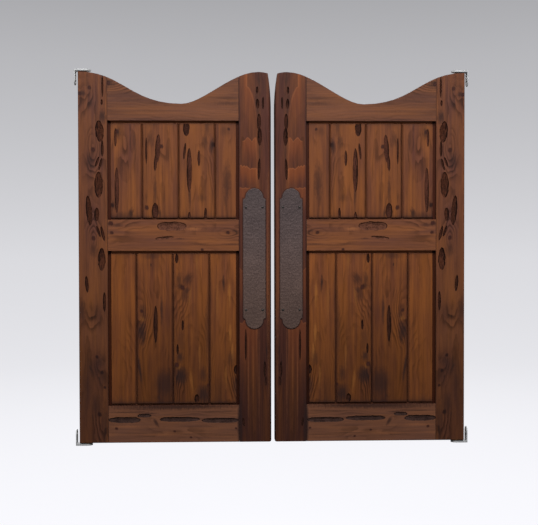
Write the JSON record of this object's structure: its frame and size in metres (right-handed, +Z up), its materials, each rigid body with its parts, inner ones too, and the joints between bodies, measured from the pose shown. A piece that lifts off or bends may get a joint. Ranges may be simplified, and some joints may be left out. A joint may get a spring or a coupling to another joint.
{
  "type": "pair of cafe swinging doors",
  "caption": "Chest-high framed and panelled wooden swinging doors with scooped tops and hammered push plates, opening both ways on spring pivots.",
  "frame": {"origin": "under the middle of the gap between the closed leaves, at mid-thickness, level with the underside of the bottom jamb brackets", "axes": "+X along the doorway to the right as seen from the front, +Y from the front to the back, +Z up"},
  "size_m": [1.1368, 0.0426, 1.0832],
  "materials": {
    "frame_wood": "brown stain, satin, pecky grain",
    "panel_wood": "brown stain, satin, pecky grain",
    "hammered_bronze": "hammered, dark bronze",
    "plate_screws": "blackened",
    "bracket_metal": "zinc plating",
    "bearing_bronze": "turned",
    "bright_steel": "drawn and turned"
  },
  "bodies": {
    "jamb_hardware": {"left_top_jamb_bracket": "bracket_metal", "left_bottom_jamb_bracket": "bracket_metal", "left_pivot_spindle": "bright_steel", "left_thrust_washer": "bearing_bronze", "right_top_jamb_bracket": "bracket_metal", "right_bottom_jamb_bracket": "bracket_metal", "right_pivot_spindle": "bright_steel", "right_thrust_washer": "bearing_bronze"},
    "left_leaf": {"left_hinge_stile": "frame_wood", "left_meeting_stile": "frame_wood", "left_bottom_rail": "frame_wood", "left_middle_rail": "frame_wood", "left_top_rail": "frame_wood", "left_upper_board_1": "panel_wood", "left_upper_board_2": "panel_wood", "left_upper_board_3": "panel_wood", "left_upper_board_4": "panel_wood", "left_lower_board_1": "panel_wood", "left_lower_board_2": "panel_wood", "left_lower_board_3": "panel_wood", "left_lower_board_4": "panel_wood", "left_front_push_plate": "hammered_bronze", "left_back_push_plate": "hammered_bronze", "left_front_plate_screw_1": "plate_screws", "left_front_plate_screw_2": "plate_screws", "left_front_plate_screw_3": "plate_screws", "left_front_plate_screw_4": "plate_screws", "left_back_plate_screw_1": "plate_screws", "left_back_plate_screw_2": "plate_screws", "left_back_plate_screw_3": "plate_screws", "left_back_plate_screw_4": "plate_screws", "left_top_pivot_bush": "bearing_bronze", "left_spring_tube": "bright_steel", "left_return_spring": "bright_steel"},
    "right_leaf": {"right_hinge_stile": "frame_wood", "right_meeting_stile": "frame_wood", "right_bottom_rail": "frame_wood", "right_middle_rail": "frame_wood", "right_top_rail": "frame_wood", "right_upper_board_1": "panel_wood", "right_upper_board_2": "panel_wood", "right_upper_board_3": "panel_wood", "right_upper_board_4": "panel_wood", "right_lower_board_1": "panel_wood", "right_lower_board_2": "panel_wood", "right_lower_board_3": "panel_wood", "right_lower_board_4": "panel_wood", "right_front_push_plate": "hammered_bronze", "right_back_push_plate": "hammered_bronze", "right_front_plate_screw_1": "plate_screws", "right_front_plate_screw_2": "plate_screws", "right_front_plate_screw_3": "plate_screws", "right_front_plate_screw_4": "plate_screws", "right_back_plate_screw_1": "plate_screws", "right_back_plate_screw_2": "plate_screws", "right_back_plate_screw_3": "plate_screws", "right_back_plate_screw_4": "plate_screws", "right_top_pivot_bush": "bearing_bronze", "right_spring_tube": "bright_steel", "right_return_spring": "bright_steel"}
  },
  "joints": [
    {"name": "left_swing", "type": "hinge", "parent": "jamb_hardware", "child": "left_leaf", "pos_m": [-0.53525, 0, 0.0082], "axis": [0, 0, 1], "range_deg": [-90, 90], "stiffness_Nm_per_rad": 2},
    {"name": "right_swing", "type": "hinge", "parent": "jamb_hardware", "child": "right_leaf", "pos_m": [0.53525, 0, 0.0082], "axis": [0, 0, 1], "range_deg": [-90, 90], "stiffness_Nm_per_rad": 2}
  ]
}
